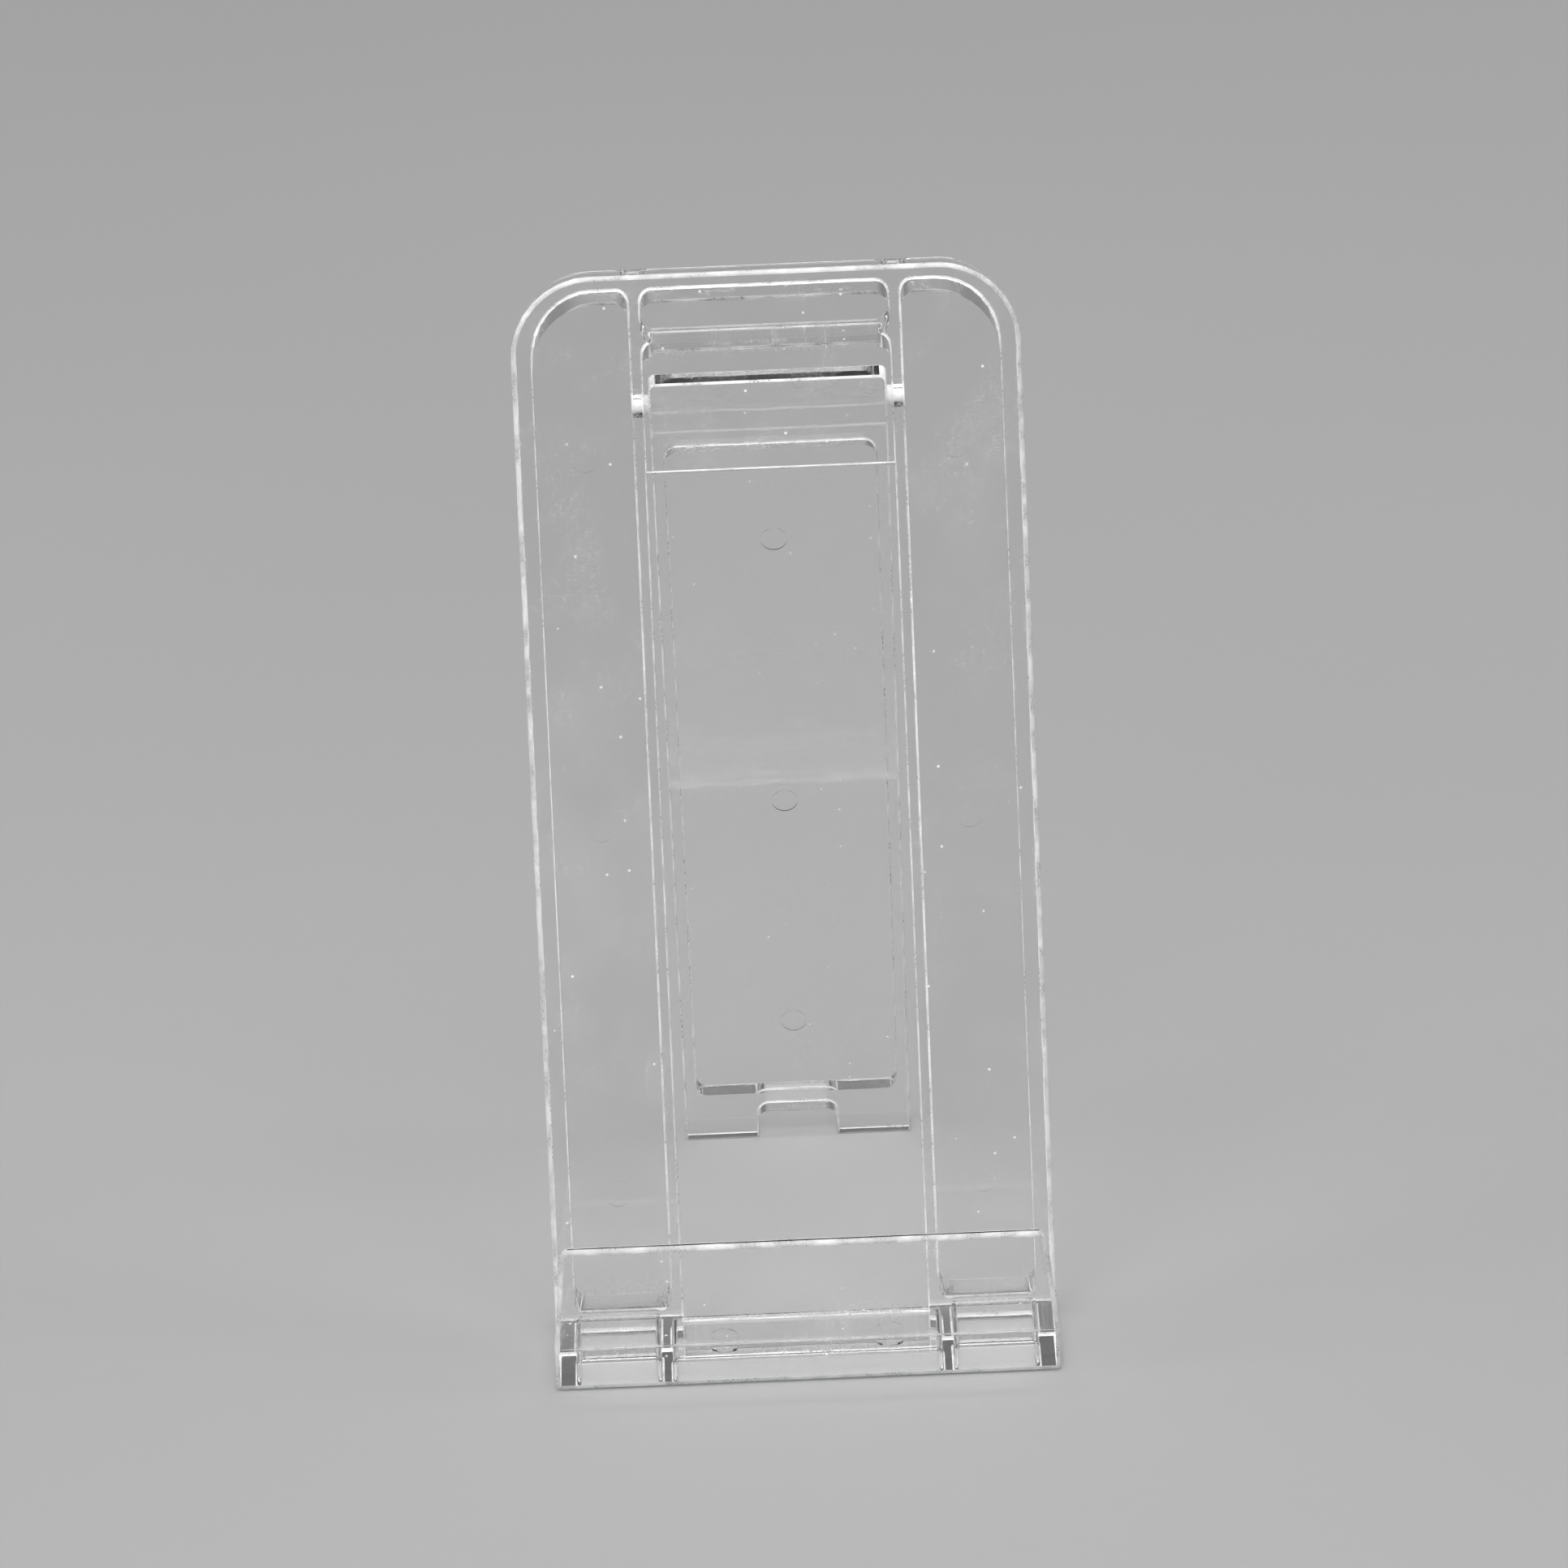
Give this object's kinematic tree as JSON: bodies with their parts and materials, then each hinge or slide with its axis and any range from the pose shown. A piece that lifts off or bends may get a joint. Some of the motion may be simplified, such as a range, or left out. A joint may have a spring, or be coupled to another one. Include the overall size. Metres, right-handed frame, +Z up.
{
  "type": "folding plate display stand",
  "caption": "Clear plastic easel that holds a display plate upright behind a low front lip, with a prop leg that folds flat.",
  "frame": {"origin": "on the table, at the middle of the open stand's width and depth", "axes": "+X to the viewer's right, +Y from the lip towards the prop leg, +Z up from the table"},
  "size_m": [0.061, 0.0688, 0.1274],
  "materials": {
    "clear_frame_plastic": "clear and colourless, polished as moulded",
    "clear_leg_plastic": "clear and colourless, polished as moulded"
  },
  "bodies": {
    "frame": {"stand_frame": "clear_frame_plastic"},
    "leg": {"prop_leg": "clear_leg_plastic"}
  },
  "joints": [
    {"name": "leg_fold", "type": "hinge", "parent": "frame", "child": "leg", "pos_m": [0, 0.00793, 0.11096], "axis": [1, 0, 0], "range_deg": [-27.5, 0]}
  ]
}
